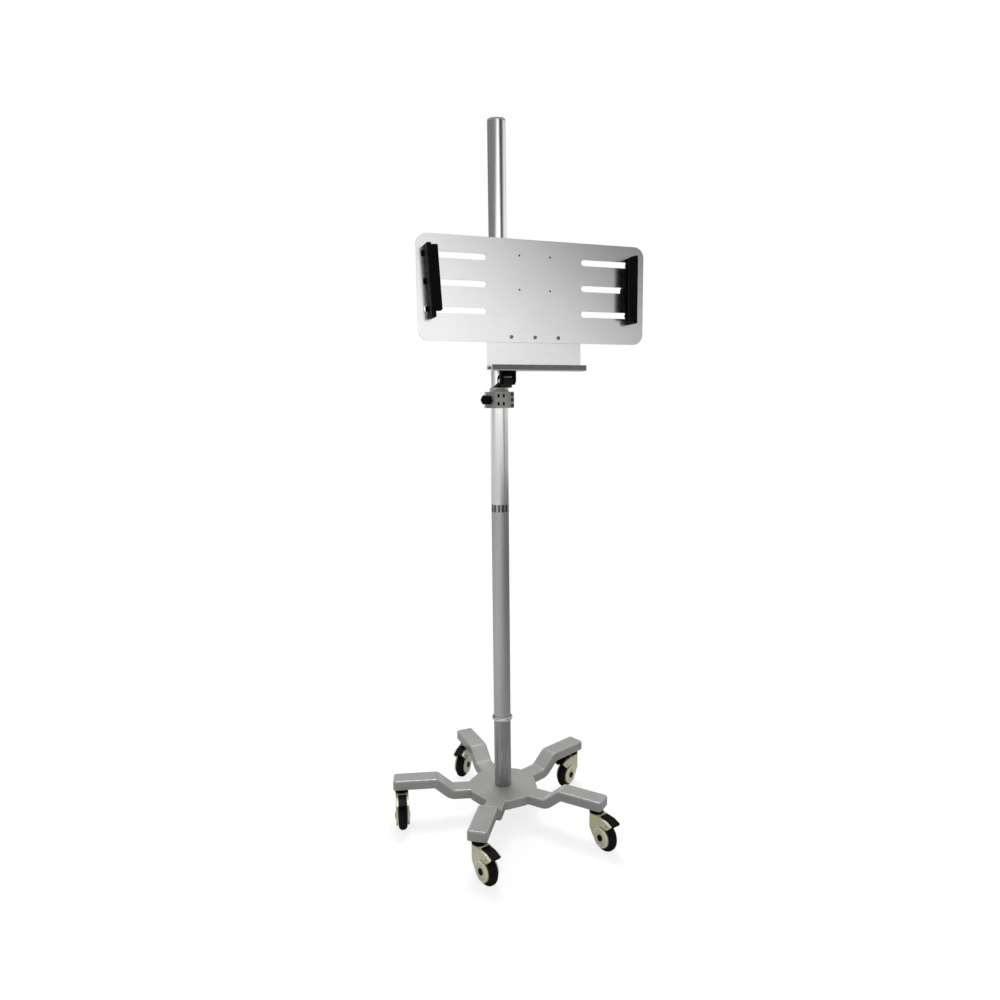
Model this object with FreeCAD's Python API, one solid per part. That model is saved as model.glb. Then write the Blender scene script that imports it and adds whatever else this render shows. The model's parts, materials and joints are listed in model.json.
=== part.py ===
import FreeCAD, Part
import math
import os

# Mobile stand that holds a flat x-ray detector: five-arm base on braked casters, a three-part
# column, a height collar, a tilting head and a slotted plate with two sliding grips.
# Millimetres. The origin is on the floor under the column axis, +Z is up, +X runs along the
# plate's width and the front of the plate faces -Y.

V = FreeCAD.Vector
ORIGIN = V(0, 0, 0)
ALONG_X = V(1, 0, 0)
ALONG_Y = V(0, 1, 0)
ALONG_Z = V(0, 0, 1)

# Clearances
running_clearance = 0.08
body_clearance = 0.3
fixed_clearance = 0.05
through_margin = 1.0

# Star base
arm_count = 5
base_turn = 4.3
arm_width = 46.5
arm_reach = 276.0
arm_thickness = 22.5
arm_step = 32.0
slope_foot = 127.0
slope_run = 38.0
slope_inner_round = 12.0
slope_outer_round = 18.0
underside_outer_round = 6.0
underside_inner_round = 40.0
arm_edge_round = 5.0
arm_end_round = 7.0
hub_flat_distance = 84.0
hub_flat_length = 44.0
hub_step = 6.0
hub_edge_round = 4.0
socket_depth = 16.5
socket_floor_round = 1.0

# Casters
swivel_radius = 256.0
wheel_radius = 35.0
trail = 29.5
tyre_width = 21.5
tyre_round = 9.5
tyre_inner_radius = 24.5
rim_width = 18.0
rim_thickness = 3.5
web_thickness = 7.0
boss_radius = 9.0
axle_radius = 4.0
axle_cap_radius = 7.5
axle_cap_height = 2.5
axle_cap_round = 0.8
fork_rise = 47.0
fork_gap = 23.5
fork_plate = 4.0
fork_crown_radius = 16.5
fork_crown_height = 7.5
fork_rib = 1.2
fork_rib_drop = 10.5
fork_bridge_end = 23.5
fork_web = 4.0
fork_web_drop = 31.0
fork_front_drop = 24.0
fork_front_round = 30.0
fork_lobe_radius = 24.0
fork_edge_round = 1.0
slit_height = 4.0
slit_end = 27.0
branch_foot = 50.0
branch_foot_drop = 1.2
branch_tip = 65.0
branch_drop = 6.0
branch_shoulder = 46.0
branch_round = 2.0
collar_height = 13.2
swivel_collar_radius = 17.0
swivel_collar_taper = 1.0
kingpin_radius = 6.0
kingpin_reach = 17.5
kingpin_head_radius = 9.0
kingpin_head_height = 3.5
pedal_front = 25.5
pedal_tip = 69.0
pedal_pivot_x = 49.0
pedal_pivot_rise = 36.5
pedal_boss_radius = 3.4
pedal_proud = 4.0
pedal_thickness = 9.0
pedal_tip_drop = 5.5
pedal_width = 20.0
pedal_lip_width = 23.0
pedal_lip_start = 66.5
pedal_lip_height = 10.0
pedal_pin_radius = 2.2
pedal_pin_reach = 4.6

# Trail direction of each caster, degrees from +X, one per arm
trail_turns = {"front": -73.9, "right": -74.3, "right_rear": 214.6, "rear": 231.3, "left": -99.5}
# Arm number of each caster, counted from the arm nearest straight back
caster_arms = {"front": 2, "right": 3, "right_rear": 4, "rear": 0, "left": 1}

# Column
column_radius = 21.0
tube_wall = 2.0
ring_level = 263.0
ring_height = 10.5
ring_radius = 25.75
ring_round = 4.5
coupler_half = 40.0
coupler_wall = 3.0
band_level = 794.0
band_height = 18.0
column_top = 1686.0
cap_height = 6.0
cap_round = 3.0
cap_spigot = 14.0
plug_height = 30.0
bolt_radius = 6.0
bolt_engagement = 22.0
bolt_head_width = 18.0
bolt_head_height = 8.0
bolt_flange_radius = 15.0
bolt_flange_height = 2.5

# Height collar
collar_base = 1034.0
collar_tall = 38.0
collar_across_flats = 68.0
collar_turn = -11.5
collar_edge_round = 1.5
liner_wall = 2.4
liner_clearance = 0.08
pad_width = 27.0
pad_proud = 2.0
pad_depth = 6.0
arch_width = 37.0
arch_depth = 4.8
arch_rise = 8.0
arch_shoulder_rise = 1.5
pocket_width = 5.5
pocket_height = 8.0
pocket_depth = 3.0
pocket_spacing_x = 12.4
pocket_spacing_z = 18.4
collar_screw_count = 3
collar_screw_pitch = 13.0
collar_screw_offset = 6.0
collar_screw_radius = 4.0
collar_screw_proud = 3.0
collar_screw_shank_radius = 2.5
collar_screw_depth = 7.0
collar_screw_socket_radius = 2.0
collar_screw_socket_depth = 1.8
knob_radius = 11.0
knob_length = 19.0
knob_lobes = 6
knob_lobe_radius = 3.2
knob_neck_radius = 6.0
knob_neck_length = 2.5
knob_standoff = 4.5
knob_stud_radius = 4.0
knob_edge_round = 1.5

# Head that turns on the collar
head_ring_height = 9.2
head_ring_wall = 1.8
lug_width = 23.2
lug_skirt_width = 43.0
lug_skirt_rise = 11.0
lug_skirt_forward = 33.5
lug_rear_rise = 20.0
lug_barrel_radius = 10.5
pivot_level = 1096.0
pivot_forward = 53.0
hinge_shift = 1.25
hinge_radius = 3.0
cheek_gap = 24.0
cheek_thickness = 6.25
cheek_rear = 16.0
cheek_top = 22.0
cheek_rear_top = 9.0
cheek_bottom = 9.0
cheek_round = 4.0
tab_height = 40.0
tab_thickness = 4.0
tab_drop = 10.0
tab_corner = 4.0
tab_screw_rise = 30.0
tab_screw_spacing = 19.0
tab_screw_radius = 2.5
tab_screw_head_radius = 4.5
tab_screw_head_height = 3.0
hinge_head_radius = 4.2
hinge_head_height = 1.6
hinge_nut_width = 11.0
hinge_nut_height = 4.0

# Plate
plate_front = 70.0
plate_centre_x = 65.0
plate_level = 1296.0
plate_width = 555.5
plate_offset = 2.5
plate_height = 228.0
plate_thickness = 3.0
plate_corner = 25.0
monitor_hole_spacing = 75.0
monitor_hole_radius = 2.2
monitor_hole_rise = 40.6
slot_width = 14.0
slot_inner = 123.3
slot_outer = 253.6
slot_pitch = 58.6
slot_rise = 12.0

# Lower bracket under the plate
bracket_width = 232.5
bracket_sheet = 2.0
bracket_overlap = 24.0
bracket_drop = 64.5
bracket_bend = 3.0
ledge_reach = 35.0
lip_height = 9.0
trim_wall = 2.0
trim_depth = 9.0
trim_round = 1.2
trim_end_gap = 1.5
bracket_screw_spacing = 58.0
bracket_screw_inset = 12.0
bracket_screw_radius = 2.5
bracket_screw_head_radius = 4.2
bracket_screw_head_height = 1.8
bracket_screw_socket_radius = 1.6
bracket_nut_height = 3.5
bracket_nut_width = 8.0

# Grips
left_grip_place = 250.0
left_grip_skew = 3.4
right_grip_place = 240.5
grip_standoff = 2.5
grip_outer = 5.5
grip_web = 9.5
grip_width = 23.5
grip_foot_width = 16.0
grip_notch = 18.0
grip_depth = 33.5
grip_foot = 3.0
grip_lip = 5.0
grip_above = 75.0
grip_below = 79.0
grip_lip_top_cut = 4.0
grip_lip_bottom_cut = 12.0
grip_chamfer = 6.0
grip_corner = 2.0
block_outer = 11.0
block_inner = 5.0
block_height = 12.0
block_neck_radius = 6.5
block_play = 0.2
grip_screw_radius = 2.5
grip_screw_depth = 14.0
grip_washer_width = 13.0
grip_washer_tall = 21.0
grip_washer_height = 1.5
grip_screw_head_radius = 5.5
grip_screw_head_height = 4.0
grip_screw_socket_radius = 2.4
grip_screw_socket_depth = 2.2
grip_knob_radius = 13.0
grip_knob_length = 15.0

# Levels and places that follow from the sizes above
wheel_level = wheel_radius
fork_top = wheel_level + fork_rise
arm_underside = fork_top + body_clearance + collar_height
arm_top = arm_underside + arm_thickness
hub_top = arm_top - arm_step
hub_underside = hub_top - arm_thickness
socket_floor = hub_top - socket_depth
tube_bore = column_radius - tube_wall
spigot_radius = tube_bore - fixed_clearance
ring_bore = column_radius + fixed_clearance
plug_top = socket_floor + plug_height
collar_top = collar_base + collar_tall
collar_mid = collar_base + collar_tall / 2
collar_face = collar_across_flats / 2
pad_face = collar_face + pad_proud
liner_bore = column_radius + liner_clearance
liner_radius = liner_bore + liner_wall
head_bore = column_radius + body_clearance
head_ring_base = collar_top + body_clearance
head_ring_top = head_ring_base + head_ring_height
front_face_turn = collar_turn - 90
plate_front_y = -plate_front
plate_rear_y = plate_front_y + plate_thickness
flange_rear_y = plate_rear_y + bracket_sheet
pivot_y = -pivot_forward
plate_bottom = plate_level - plate_height / 2
bracket_top = plate_bottom + bracket_overlap
ledge_underside = plate_bottom - bracket_drop
ledge_top = ledge_underside + bracket_sheet
lip_front_y = flange_rear_y - ledge_reach
lip_top = ledge_top + lip_height
slot_mid = plate_level + slot_rise
fork_half = fork_gap / 2 + fork_plate
cheek_outer = cheek_gap / 2 + cheek_thickness


def corner_arc(back_point, here, ahead_point, radius):
    """Start, middle and end of the arc that rounds one corner."""
    if radius == 0:
        return here, here, here
    back = (back_point - here).normalize()
    ahead = (ahead_point - here).normalize()
    half = back.getAngle(ahead) / 2
    reach = radius / math.tan(half)
    centre = here + (back + ahead).normalize() * (radius / math.sin(half))
    middle = centre + (here - centre).normalize() * radius
    return here + back * reach, middle, here + ahead * reach


def outline(points, place):
    """Face inside a closed line through (a, b, corner radius) points, laid out by place(a, b)."""
    flat = [V(a, b, 0) for a, b, _ in points]
    count = len(points)
    arcs = []
    for i in range(count):
        arcs.append(corner_arc(flat[i - 1], flat[i], flat[(i + 1) % count], points[i][2]))
    edges = []
    for i in range(count):
        start, middle, end = [place(p.x, p.y) for p in arcs[i]]
        if points[i][2] > 0:
            edges.append(Part.Arc(start, middle, end).toShape())
        following = arcs[(i + 1) % count][0]
        following = place(following.x, following.y)
        if (following - end).Length > 1e-6:
            edges.append(Part.LineSegment(end, following).toShape())
    return Part.Face(Part.Wire(Part.__sortEdges__(edges)))


def in_xz(y):
    return lambda a, b: V(a, y, b)


def in_yz(x):
    return lambda a, b: V(x, a, b)


def in_xy(z):
    return lambda a, b: V(a, b, z)


def prism_x(points, x_low, x_high):
    return outline(points, in_yz(x_low)).extrude(V(x_high - x_low, 0, 0))


def prism_y(points, y_low, y_high):
    return outline(points, in_xz(y_low)).extrude(V(0, y_high - y_low, 0))


def prism_z(points, z_low, z_high):
    return outline(points, in_xy(z_low)).extrude(V(0, 0, z_high - z_low))


def box(x_low, x_high, y_low, y_high, z_low, z_high):
    return Part.makeBox(x_high - x_low, y_high - y_low, z_high - z_low, V(x_low, y_low, z_low))


def rod(radius, start, end):
    """Cylinder from one point to another."""
    line = end - start
    return Part.makeCylinder(radius, line.Length, start, line)


def rod_z(radius, z_low, z_high):
    return rod(radius, V(0, 0, z_low), V(0, 0, z_high))


def tube_z(outer, inner, z_low, z_high):
    return rod_z(outer, z_low, z_high).cut(
        rod_z(inner, z_low - through_margin, z_high + through_margin))


def turned(points):
    """Solid of revolution about +Z from (radius, z, corner radius) points."""
    return outline(points, in_xz(0)).revolve(ORIGIN, ALONG_Z, 360)


def hexagon(width, start, end):
    """Hexagonal prism of one width across flats, from one point to another."""
    side = width / math.sqrt(3)
    points = []
    for i in range(6):
        angle = math.radians(60 * i)
        points.append((side * math.cos(angle), side * math.sin(angle), 0))
    solid = prism_z(points, 0, (end - start).Length)
    turn = FreeCAD.Rotation(ALONG_Z, end - start)
    solid.Placement = FreeCAD.Placement(start, turn)
    return solid


def fused(pieces):
    return pieces[0].multiFuse(pieces[1:]).removeSplitter()


def turn_z(shape, degrees):
    return shape.rotated(ORIGIN, ALONG_Z, degrees)


def edges_where(shape, test):
    return [edge for edge in shape.Edges if test(edge)]


def round_edges(shape, radius, test):
    chosen = edges_where(shape, test)
    if not chosen:
        return shape
    return shape.makeFillet(radius, chosen)


def at_level(edge, level):
    return abs(edge.BoundBox.ZMin - level) < 1e-4 and abs(edge.BoundBox.ZMax - level) < 1e-4


def write(name, shape):
    shape.exportStep("parts/" + name + ".step")


def arm_angle(number):
    return 90 + base_turn + 360 / arm_count * number


# Base

def base_arm():
    """One arm along +X: level at the hub, a slope up and a level outer run."""
    slope = math.atan2(arm_step, slope_run)
    shift = arm_thickness * math.tan(slope / 2)
    slope_head = slope_foot + slope_run
    points = [
        (0, hub_underside, 0),
        (slope_foot + shift, hub_underside, underside_inner_round),
        (slope_head + shift, arm_underside, underside_outer_round),
        (arm_reach, arm_underside, 0),
        (arm_reach, arm_top, 0),
        (slope_head, arm_top, slope_outer_round),
        (slope_foot, hub_top, slope_inner_round),
        (0, hub_top, 0),
    ]
    half = arm_width / 2
    arm = prism_y(points, -half, half)

    def end_edge(edge):
        box_of = edge.BoundBox
        return box_of.XMin > arm_reach - 1e-4 and box_of.ZLength > arm_thickness - 1e-3
    arm = round_edges(arm, arm_end_round, end_edge)

    def top_edge(edge):
        middle = edge.valueAt((edge.FirstParameter + edge.LastParameter) / 2)
        lengthwise = abs(edge.BoundBox.XLength) > 1e-3 and abs(abs(middle.y) - half) < 1e-4
        above = middle.z > top_height(middle.x) - 1e-3
        return (lengthwise and above) or (middle.x > arm_reach - arm_end_round and at_level(edge, arm_top))

    def top_height(x):
        """Lowest height that the top side can have at x."""
        if x < slope_foot:
            return hub_top
        climb = (x - slope_foot) / slope_run
        return hub_top + arm_step * min(max(climb - 0.2, 0), 0.8)
    arm = round_edges(arm, arm_edge_round, top_edge)
    return arm


def hub_plate():
    """Hub between the arms: a flat edge in each gap with a small step down to each arm."""
    half_gap = math.pi / arm_count
    half_flat = hub_flat_length / 2
    step_back = hub_flat_distance * math.cos(half_gap) + half_flat * math.sin(half_gap)
    flat_side = hub_flat_distance * math.sin(half_gap) - half_flat * math.cos(half_gap)
    points = []
    for i in range(arm_count):
        arm = math.radians(arm_angle(i))
        along = V(math.cos(arm), math.sin(arm), 0)
        side = V(-math.sin(arm), math.cos(arm), 0)
        inset = min(flat_side, arm_width / 2 - arm_edge_round)
        corners = [
            (along * step_back - side * flat_side, 0),
            (along * (step_back + hub_step) - side * inset, 0),
            (along * (step_back + hub_step) + side * inset, 0),
            (along * step_back + side * flat_side, 0),
        ]
        points.extend((p.x, p.y, radius) for p, radius in corners)
    plate = prism_z(points, hub_underside, hub_top)
    return round_edges(plate, hub_edge_round, lambda edge: at_level(edge, hub_top))


def make_base():
    arm = base_arm()
    pieces = [hub_plate()]
    for i in range(arm_count):
        pieces.append(turn_z(arm, arm_angle(i)))
    base = fused(pieces)
    base = base.cut(rod_z(column_radius + fixed_clearance, socket_floor, hub_top + through_margin))
    base = base.cut(rod_z(bolt_radius + running_clearance, 0, hub_top))
    for i in range(arm_count):
        hole = rod_z(kingpin_radius + fixed_clearance, arm_underside - through_margin,
                     arm_underside + kingpin_reach)
        hole.translate(V(swivel_radius, 0, 0))
        base = base.cut(turn_z(hole, arm_angle(i)))
    write("base_casting", base)


def make_swivels():
    """Swivel collars under the arms and the kingpins that carry the forks."""
    collar = turned([
        (kingpin_radius + fixed_clearance, fork_top + body_clearance, 0),
        (swivel_collar_radius, fork_top + body_clearance, 1.5),
        (swivel_collar_radius - swivel_collar_taper, arm_underside, 0),
        (kingpin_radius + fixed_clearance, arm_underside, 0),
    ])
    head_top = fork_top - fork_crown_height - body_clearance
    pin = rod_z(kingpin_radius, head_top, arm_underside + kingpin_reach)
    pin = pin.fuse(rod_z(kingpin_head_radius, head_top - kingpin_head_height, head_top))
    pin = pin.removeSplitter()
    collars = []
    pins = []
    for i in range(arm_count):
        for source, target in ((collar, collars), (pin, pins)):
            target.append(turn_z(source.translated(V(swivel_radius, 0, 0)), arm_angle(i)))
    write("swivel_collars", Part.makeCompound(collars))
    write("kingpins", Part.makeCompound(pins))


# Casters, built with the swivel axis on the origin's Z axis and the wheel trailing along +X

def fork_side():
    """Side plate outline: straight front, round lobe at the axle, branch that holds the pedal."""
    front = -fork_crown_radius
    front_low = fork_top - fork_front_drop
    lobe_low = wheel_level - fork_lobe_radius
    lobe_rear = trail + fork_lobe_radius
    reach = math.hypot(trail - front, wheel_level - front_low)
    fall = math.atan2(front_low - wheel_level, trail - front) + math.asin(fork_lobe_radius / reach)
    slit_low = wheel_level + fork_lobe_radius
    return [
        (front, fork_top, 0),
        (front, front_low, fork_front_round),
        (front + (front_low - lobe_low) / math.tan(fall), lobe_low, fork_lobe_radius),
        (lobe_rear, lobe_low, fork_lobe_radius),
        (lobe_rear, slit_low, fork_lobe_radius),
        (slit_end, slit_low, 0),
        (slit_end, slit_low + slit_height, 0),
        (branch_foot, slit_low + slit_height - branch_foot_drop, branch_round),
        (branch_tip, fork_top - branch_drop, branch_round),
        (branch_shoulder, fork_top, fork_crown_radius),
    ]


def make_fork():
    side = fork_side()
    inner = fork_gap / 2
    below_ribs = box(-trail, 3 * trail, -fork_half, fork_half, 0, fork_top - fork_rib_drop)
    pieces = []
    for sign in (-1, 1):
        low, high = sorted((sign * inner, sign * fork_half))
        outer_face = sign * fork_half
        plate = prism_y(side, low, high)

        def outer_rim(edge):
            centre = edge.BoundBox
            flat = centre.YLength < 1e-4 and abs(centre.YMin - outer_face) < 1e-4
            return flat and not at_level(edge, fork_top)
        pieces.append(round_edges(plate, fork_edge_round, outer_rim))
        low, high = sorted((sign * (inner - fork_rib), sign * inner))
        pieces.append(prism_y(side, low, high).cut(below_ribs))
    crown_low = fork_top - fork_crown_height
    crown = rod_z(fork_crown_radius, crown_low, fork_top)
    bridge = box(-fork_crown_radius / 2, fork_bridge_end, -inner, inner, crown_low, fork_top)
    front_web = box(-fork_crown_radius, fork_web - fork_crown_radius, -inner, inner,
                    fork_top - fork_web_drop, crown_low)
    fork = fused(pieces + [crown, bridge, front_web])
    ahead = box(-2 * fork_crown_radius, 0, -fork_crown_radius, fork_crown_radius, 0, fork_top)
    fork = fork.cut(ahead.cut(rod_z(fork_crown_radius, 0, fork_top)))
    fork = fork.cut(rod_z(kingpin_radius + running_clearance, 0, fork_top + through_margin))
    axle_hole = rod(axle_radius + fixed_clearance, V(trail, -fork_half - through_margin, wheel_level),
                    V(trail, fork_half + through_margin, wheel_level))
    pin_hole = rod(pedal_pin_radius + running_clearance, V(pedal_pivot_x, -fork_half - through_margin,
                   wheel_level + pedal_pivot_rise),
                   V(pedal_pivot_x, fork_half + through_margin, wheel_level + pedal_pivot_rise))
    return fork.cut(axle_hole).cut(pin_hole)


def about_axle(shape):
    """Lay a solid of revolution about +Z down on the wheel's axle."""
    laid = shape.rotated(ORIGIN, ALONG_X, -90)
    return laid.translated(V(trail, 0, wheel_level))


def make_tyre():
    half = tyre_width / 2
    return about_axle(turned([
        (tyre_inner_radius, -half, 0),
        (wheel_radius, -half, tyre_round),
        (wheel_radius, half, tyre_round),
        (tyre_inner_radius, half, 0),
    ]))


def make_wheel_hub():
    rim_outer = tyre_inner_radius - fixed_clearance
    rim_inner = rim_outer - rim_thickness
    bore = axle_radius + running_clearance
    half_rim = rim_width / 2
    half_web = web_thickness / 2
    half_boss = fork_gap / 2 - body_clearance
    return about_axle(turned([
        (bore, -half_boss, 0), (boss_radius, -half_boss, 0),
        (boss_radius, -half_web, 0), (rim_inner, -half_web, 0),
        (rim_inner, -half_rim, 0), (rim_outer, -half_rim, 0),
        (rim_outer, half_rim, 0), (rim_inner, half_rim, 0),
        (rim_inner, half_web, 0), (boss_radius, half_web, 0),
        (boss_radius, half_boss, 0), (bore, half_boss, 0),
    ]))


def make_axle():
    """Axle with a domed cap at each end, outside the fork's side plates."""
    end = fork_half + axle_cap_height
    return about_axle(turned([
        (0, -end, 0), (axle_cap_radius, -end, axle_cap_round), (axle_cap_radius, -fork_half, 0),
        (axle_radius, -fork_half, 0), (axle_radius, fork_half, 0),
        (axle_cap_radius, fork_half, 0), (axle_cap_radius, end, axle_cap_round), (0, end, 0),
    ]))


def make_pedal():
    """Brake pedal: a lever between the branches with a wider lip behind them."""
    pivot_z = wheel_level + pedal_pivot_rise
    top = fork_top + pedal_proud
    under = top - pedal_thickness
    half = pedal_width / 2
    half_lip = pedal_lip_width / 2
    boss = pedal_boss_radius
    lever = prism_y([
        (pedal_front, under, 1),
        (pedal_pivot_x - 1.5 * boss, under, 1),
        (pedal_pivot_x - boss, pivot_z - boss, 1.5),
        (pedal_pivot_x + boss, pivot_z - boss, 1.5),
        (pedal_lip_start, top - pedal_lip_height, 0),
        (pedal_tip, top - pedal_lip_height, 1.5),
        (pedal_tip, top - pedal_tip_drop, 1.5),
        (pedal_pivot_x, top, 12),
        (pedal_front, top, 1),
    ], -half_lip, half_lip)
    waist = prism_z([
        (pedal_front - 1, -half, 0), (pedal_lip_start, -half, 3), (pedal_tip, -half_lip, 2),
        (pedal_tip, half_lip, 2), (pedal_lip_start, half, 3), (pedal_front - 1, half, 0),
    ], pivot_z - 2 * boss, top + 1)
    lever = lever.common(waist)
    pin = rod(pedal_pin_radius, V(pedal_pivot_x, -half - pedal_pin_reach, pivot_z),
              V(pedal_pivot_x, half + pedal_pin_reach, pivot_z))
    return fused([lever, pin])


def make_casters():
    pieces = {"fork": make_fork(), "tyre": make_tyre(), "wheel_hub": make_wheel_hub(),
              "axle": make_axle(), "brake_pedal": make_pedal()}
    for place, turn in trail_turns.items():
        arm = math.radians(arm_angle(caster_arms[place]))
        swivel = V(swivel_radius * math.cos(arm), swivel_radius * math.sin(arm), 0)
        for kind, piece in pieces.items():
            write(place + "_" + kind, turn_z(piece, turn).translated(swivel))


# Column

def make_column():
    write("lower_post", tube_z(column_radius, tube_bore, socket_floor, ring_level))
    write("lower_tube", tube_z(column_radius, tube_bore, ring_level, band_level - band_height / 2))
    write("upper_tube", tube_z(column_radius, tube_bore, band_level + band_height / 2,
                               column_top - cap_height))
    half_ring = ring_height / 2
    write("column_ring", turned([
        (ring_bore, ring_level - half_ring, 0), (ring_radius, ring_level - half_ring, ring_round),
        (ring_radius, ring_level + half_ring, ring_round), (ring_bore, ring_level + half_ring, 0),
    ]))
    write("ring_coupler", tube_z(spigot_radius, spigot_radius - coupler_wall,
                                 ring_level - coupler_half, ring_level + coupler_half))
    shoulder = band_height / 2
    coupler_bore = spigot_radius - coupler_wall
    write("band_coupler", turned([
        (coupler_bore, band_level - coupler_half, 0), (spigot_radius, band_level - coupler_half, 0),
        (spigot_radius, band_level - shoulder, 0), (column_radius, band_level - shoulder, 0),
        (column_radius, band_level + shoulder, 0), (spigot_radius, band_level + shoulder, 0),
        (spigot_radius, band_level + coupler_half, 0), (coupler_bore, band_level + coupler_half, 0),
    ]))
    cap_seat = column_top - cap_height
    write("top_cap", turned([
        (0, cap_seat - cap_spigot, 0), (spigot_radius, cap_seat - cap_spigot, 0),
        (spigot_radius, cap_seat, 0), (column_radius, cap_seat, 0),
        (column_radius, column_top, cap_round), (0, column_top, 0),
    ]))
    plug = tube_z(spigot_radius, bolt_radius + fixed_clearance, socket_floor, plug_top)
    write("post_plug", plug)
    flange_low = hub_underside - bolt_flange_height
    bolt = fused([
        rod_z(bolt_radius, flange_low, socket_floor + bolt_engagement),
        rod_z(bolt_flange_radius, flange_low, hub_underside),
        hexagon(bolt_head_width, V(0, 0, flange_low - bolt_head_height), V(0, 0, flange_low)),
    ])
    write("column_bolt", bolt)


# Height collar, built with its padded front face towards +X and then turned

def make_collar_body():
    half_side = collar_face * math.tan(math.pi / 8)
    corner = math.hypot(collar_face, half_side)
    points = []
    for i in range(8):
        angle = math.radians(22.5 + 45 * i)
        points.append((corner * math.cos(angle), corner * math.sin(angle), collar_edge_round))
    body = prism_z(points, collar_base, collar_top)
    half_pad = pad_width / 2
    pad = box(pad_face - pad_depth, pad_face, -half_pad, half_pad, collar_base, collar_top)
    foot = collar_top - arch_shoulder_rise
    shoulder = collar_top + arch_shoulder_rise
    half_arch = arch_width / 2
    arch_face = collar_face - (half_arch - half_side)
    right_foot, right_shoulder = V(arch_face, half_arch, foot), V(arch_face, half_arch, shoulder)
    left_foot, left_shoulder = V(arch_face, -half_arch, foot), V(arch_face, -half_arch, shoulder)
    arch = Part.Face(Part.Wire(Part.__sortEdges__([
        Part.LineSegment(left_foot, right_foot).toShape(),
        Part.LineSegment(right_foot, right_shoulder).toShape(),
        Part.Arc(right_shoulder, V(arch_face, 0, collar_top + arch_rise), left_shoulder).toShape(),
        Part.LineSegment(left_shoulder, left_foot).toShape(),
    ]))).extrude(V(-arch_depth, 0, 0))
    body = fused([body, pad, arch])
    for side in (-1, 1):
        for row in (-1, 1):
            middle_y = side * pocket_spacing_x / 2
            middle_z = collar_mid + row * pocket_spacing_z / 2
            body = body.cut(box(pad_face - pocket_depth, pad_face + through_margin,
                                middle_y - pocket_width / 2, middle_y + pocket_width / 2,
                                middle_z - pocket_height / 2, middle_z + pocket_height / 2))
    body = body.cut(rod_z(liner_radius + fixed_clearance, collar_base - through_margin,
                          collar_top + arch_rise))
    for start, end in collar_screw_lines():
        body = body.cut(rod(collar_screw_shank_radius + fixed_clearance, start, end))
    stud_hole = rod(knob_stud_radius + running_clearance, V(0, 0, collar_mid),
                    V(corner + through_margin, 0, collar_mid))
    return body.cut(turn_z(stud_hole, -45))


def collar_screw_lines():
    """Axis ends of the screws' shanks on the face to the right of the pad."""
    lines = []
    for i in range(collar_screw_count):
        level = collar_mid + (i - (collar_screw_count - 1) / 2) * collar_screw_pitch
        start = V(collar_face - collar_screw_depth, collar_screw_offset, level)
        end = V(collar_face, collar_screw_offset, level)
        turn = FreeCAD.Rotation(ALONG_Z, 45)
        lines.append((turn.multVec(start), turn.multVec(end)))
    return lines


def make_collar_screws():
    screws = []
    for start, end in collar_screw_lines():
        out = (end - start).normalize()
        head_end = end + out * collar_screw_proud
        screw = fused([rod(collar_screw_shank_radius, start, end),
                       rod(collar_screw_radius, end, head_end)])
        socket = rod(collar_screw_socket_radius, head_end - out * collar_screw_socket_depth,
                     head_end + out)
        screws.append(screw.cut(socket))
    return Part.makeCompound(screws)


def lobed_knob(radius, length, stud_radius, stud_length, neck_length):
    """Knob along +Z with finger hollows round its rim and a stud on its back, at the origin."""
    knob = turned([
        (0, -neck_length, 0), (knob_neck_radius, -neck_length, 0), (knob_neck_radius, 0, 0),
        (radius, 0, knob_edge_round), (radius, length, knob_edge_round), (0, length, 0),
    ])
    for i in range(knob_lobes):
        hollow = rod_z(knob_lobe_radius, -through_margin, length + through_margin)
        hollow.translate(V(radius + knob_lobe_radius / 2, 0, 0))
        knob = knob.cut(turn_z(hollow, 360 / knob_lobes * i))
    stud = rod_z(stud_radius, -neck_length - stud_length, -neck_length)
    return fused([knob, stud])


def make_collar_knob():
    stud = knob_standoff - knob_neck_length + collar_face - liner_radius - body_clearance
    knob = lobed_knob(knob_radius, knob_length, knob_stud_radius, stud, knob_neck_length)
    knob = knob.rotated(ORIGIN, ALONG_Y, 90)
    return turn_z(knob.translated(V(collar_face + knob_standoff, 0, collar_mid)), -45)


def make_collar():
    write("collar_liner", tube_z(liner_radius, liner_bore, collar_base, collar_top))
    write("collar_body", turn_z(make_collar_body(), front_face_turn))
    write("collar_screws", turn_z(make_collar_screws(), front_face_turn))
    write("collar_knob", turn_z(make_collar_knob(), front_face_turn))


# Head

def make_head():
    write("head_ring", tube_z(head_bore + head_ring_wall, head_bore, head_ring_base, head_ring_top))
    half = lug_width / 2
    rear = -column_radius / 2
    top = head_ring_top + lug_rear_rise
    barrel = lug_barrel_radius
    block = prism_x([
        (rear, head_ring_top, 0), (rear, top, 0), (pivot_y + barrel / 2, pivot_level + barrel * 0.866, 0),
        (pivot_y, pivot_level, 0), (pivot_y - barrel * 0.5, pivot_level - barrel * 0.866, 0),
        (pivot_y + barrel, head_ring_top, 2),
    ], -half, half)
    barrel_rod = rod(barrel, V(-half, pivot_y, pivot_level), V(half, pivot_y, pivot_level))
    half_skirt = lug_skirt_width / 2
    skirt = prism_y([
        (-half_skirt, head_ring_top, 0), (half_skirt, head_ring_top, 0),
        (half, head_ring_top + lug_skirt_rise, 0), (-half, head_ring_top + lug_skirt_rise, 0),
    ], -lug_skirt_forward, rear)
    lug = fused([block, barrel_rod, skirt])
    lug.translate(V(hinge_shift, 0, 0))
    lug = lug.cut(rod_z(head_bore, head_ring_base, top + barrel))
    lug = lug.cut(rod(hinge_radius + running_clearance, V(-half_skirt, pivot_y, pivot_level),
                      V(half_skirt, pivot_y, pivot_level)))
    write("tilt_lug", lug)


def tab_screw_places():
    half = tab_screw_spacing / 2
    return [(-half, pivot_level + tab_screw_rise), (half, pivot_level + tab_screw_rise)]


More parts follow.
